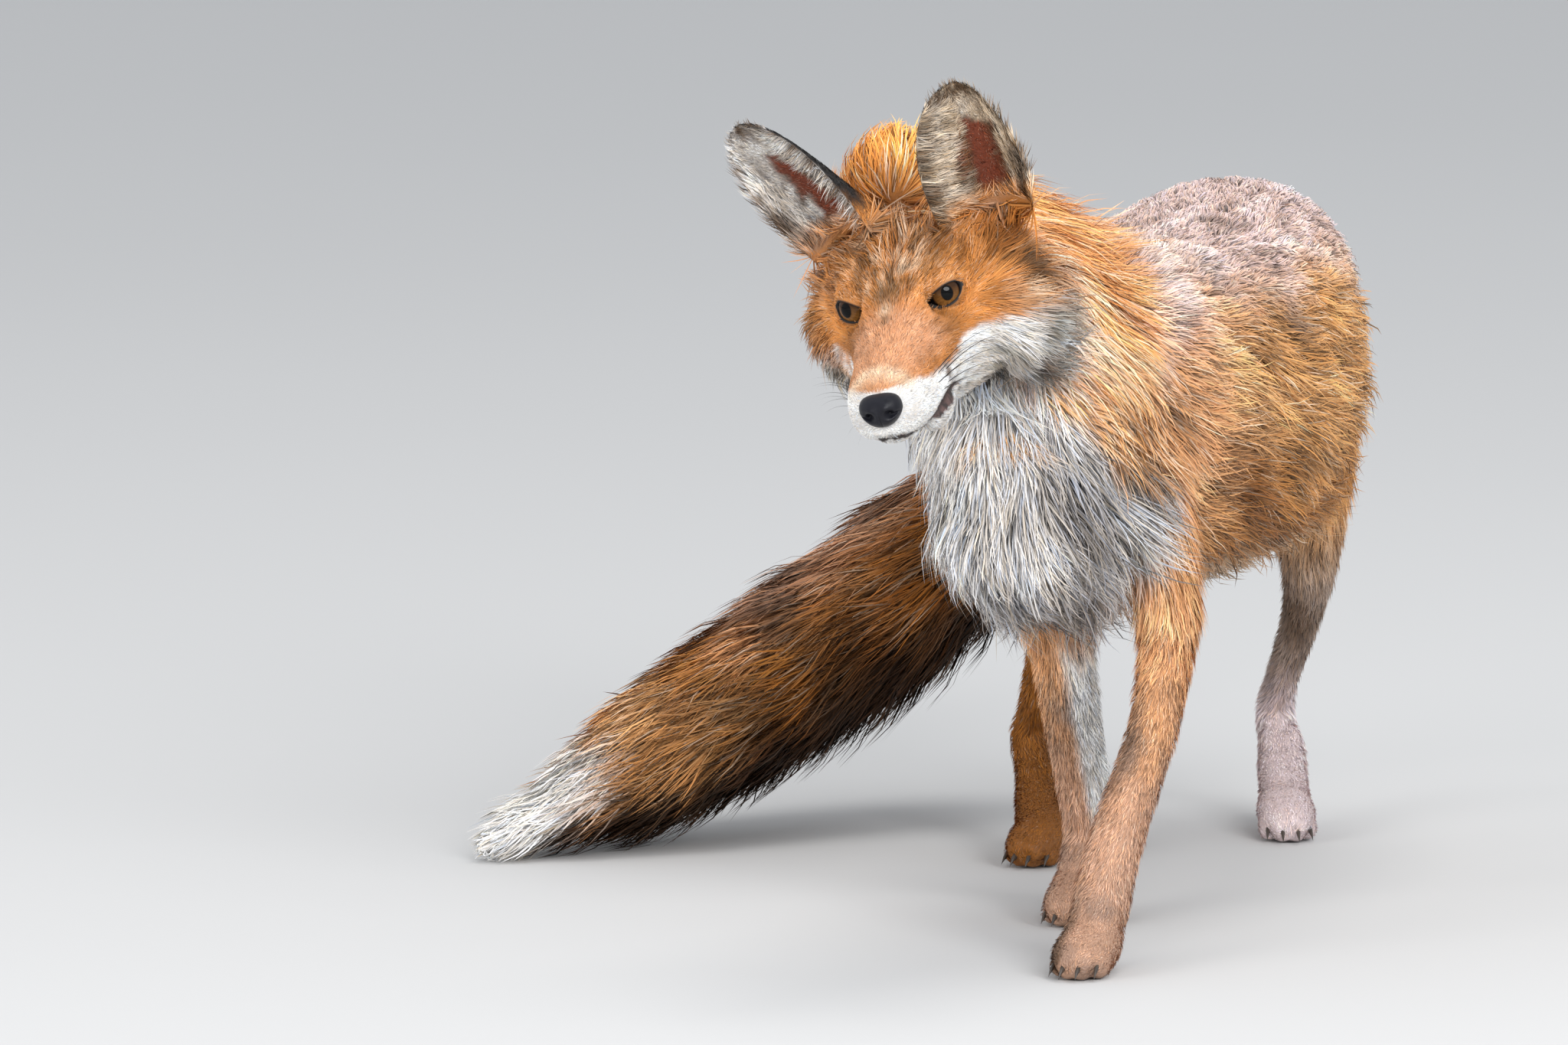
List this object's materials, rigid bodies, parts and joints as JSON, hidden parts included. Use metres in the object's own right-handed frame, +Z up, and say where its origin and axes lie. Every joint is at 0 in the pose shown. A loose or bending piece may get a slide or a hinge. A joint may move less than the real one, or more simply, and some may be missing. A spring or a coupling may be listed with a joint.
{
  "type": "red fox model",
  "caption": "Life-size still model of a walking red fox vixen in summer coat, head lowered and tilted, tail swept to its right and resting on the floor.",
  "frame": {"origin": "centre of the bounding box's base, on the floor under the animal", "axes": "+Z up; the animal faces -Y; its left side is +X"},
  "size_m": [0.4492, 0.7176, 0.4445],
  "materials": {
    "coat_head": "short orange fur, white on the muzzle sides, chin and cheeks, grizzled forehead",
    "coat_neck": "long bright orange fur, pale grey and cream on the throat",
    "coat_front": "long orange fur, hanging pale grey locks with dark streaks on the breast",
    "coat_rear": "ochre flanks, worn buff-grey back and rump",
    "coat_tail": "long dark brown grizzled fur with tan patches and black lower edge",
    "coat_tail_tip": "white hair",
    "coat_legs": "short tan fur with a dark grizzled patch at the wrist",
    "coat_hind_legs": "short grey-brown fur, whitish on the foot",
    "coat_ears": "cream hair inside, dark brown backs and rims",
    "eyes": "glossy amber-brown with a dark pupil",
    "nose_pad": "black, finely grained, slightly moist sheen"
  },
  "bodies": {
    "root": {"head": "coat_head", "neck": "coat_neck", "trunk_front": "coat_front", "trunk_rear": "coat_rear", "tail_root": "coat_tail", "tail_middle": "coat_tail", "tail_tip": "coat_tail_tip", "fore_leg_left": "coat_legs", "fore_leg_right": "coat_legs", "fore_paw_left": "coat_legs", "fore_paw_right": "coat_legs", "hind_leg_left": "coat_hind_legs", "hind_leg_right": "coat_hind_legs", "hind_paw_left": "coat_hind_legs", "hind_paw_right": "coat_hind_legs", "ear_left": "coat_ears", "ear_right": "coat_ears", "eye_left": "eyes", "eye_right": "eyes", "nose": "nose_pad"}
  },
  "joints": []
}
